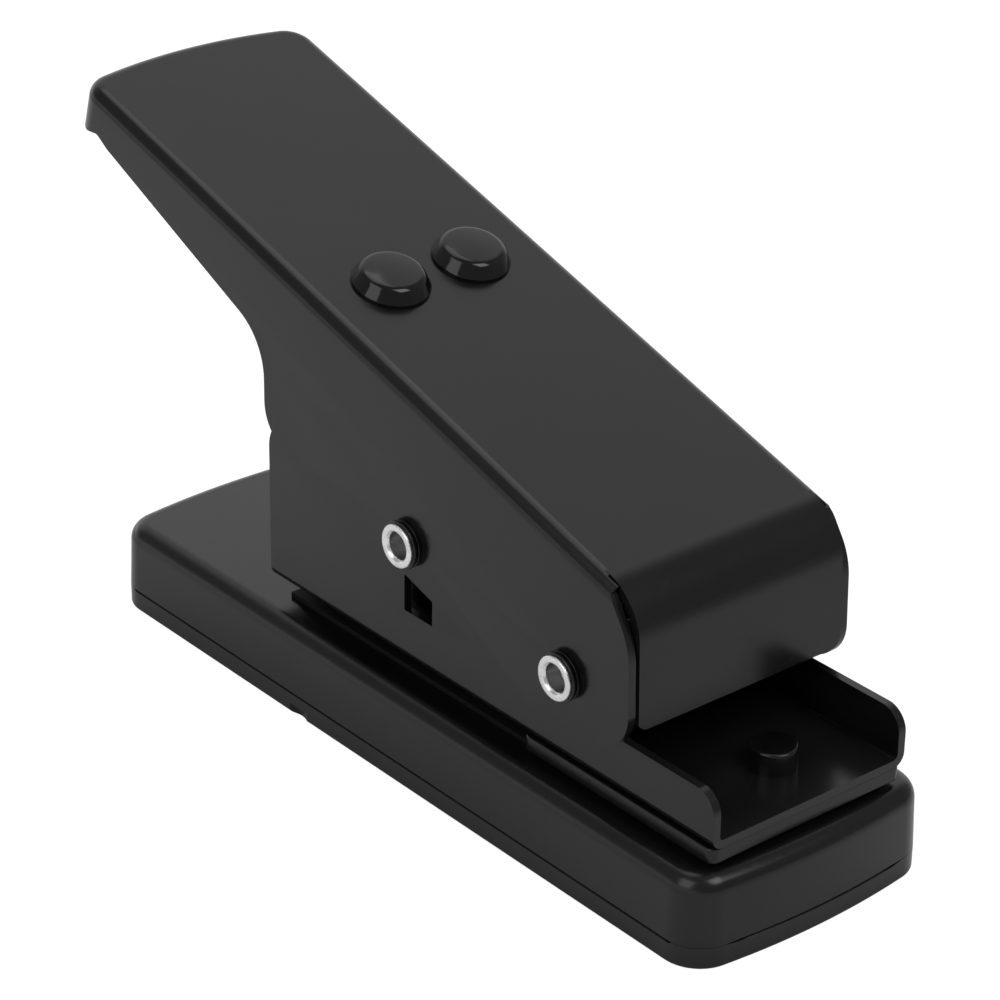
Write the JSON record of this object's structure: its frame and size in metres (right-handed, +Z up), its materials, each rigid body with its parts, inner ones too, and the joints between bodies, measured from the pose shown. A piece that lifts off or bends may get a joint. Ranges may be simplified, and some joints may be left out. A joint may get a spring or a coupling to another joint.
{
  "type": "guitar pick punch",
  "caption": "Desk punch with a long folded-steel lever over a low plastic base; a card goes in from the side and the pressed lever drives a pick-shaped punch through a die.",
  "frame": {"origin": "middle of the underside, where the bottom cover stands on the table", "axes": "+X runs to the front end with the card stop plate, +Y to the left, +Z up"},
  "size_m": [0.1682, 0.051, 0.0967],
  "materials": {
    "black_steel": "semi-gloss black powder coat on folded steel sheet",
    "black_plastic": "moulded black plastic with a light sheen",
    "bright_steel": "bright zinc-plated steel",
    "tool_steel": "ground and hardened steel",
    "spring_steel": "drawn spring wire"
  },
  "bodies": {
    "base": {"base_housing": "black_plastic", "die_plate": "black_steel", "front_stop_plate": "black_steel", "rear_stop_plate": "black_steel", "frame_channel": "black_steel", "guide_plate": "tool_steel", "guide_screws": "bright_steel", "spring_posts": "bright_steel", "return_springs": "spring_steel", "front_stud": "black_steel", "rear_rivets": "black_steel", "base_screws": "bright_steel", "hinge_pin": "bright_steel", "hinge_washers": "black_steel", "hinge_sleeve": "bright_steel"},
    "lever": {"lever": "black_steel", "lever_stiffener": "black_steel", "lever_rivets": "black_steel", "drive_pin": "bright_steel", "drive_washers": "black_steel", "drive_sleeves": "black_steel"},
    "punch": {"punch": "tool_steel", "punch_holder": "black_steel", "punch_screws": "bright_steel"},
    "cover": {"bottom_cover": "black_plastic"}
  },
  "joints": [
    {"name": "lever_hinge", "type": "hinge", "parent": "base", "child": "lever", "pos_m": [0.0429, 0, 0.0372], "axis": [0, -1, 0], "range_deg": [0, 15], "stiffness_Nm_per_rad": 3, "springref_deg": -6.02},
    {"name": "punch_slide", "type": "slide", "parent": "base", "child": "punch", "axis": [0, 0, -1], "range_m": [0, 0.01031], "deforming": ["return_springs"]},
    {"name": "cover_slide", "type": "slide", "parent": "base", "child": "cover", "axis": [0, 0, -1], "range_m": [0, 0.02]}
  ],
  "couplings": [
    {"joint": "punch_slide", "follows": "lever_hinge", "m_per_rad": 0.03929}
  ]
}
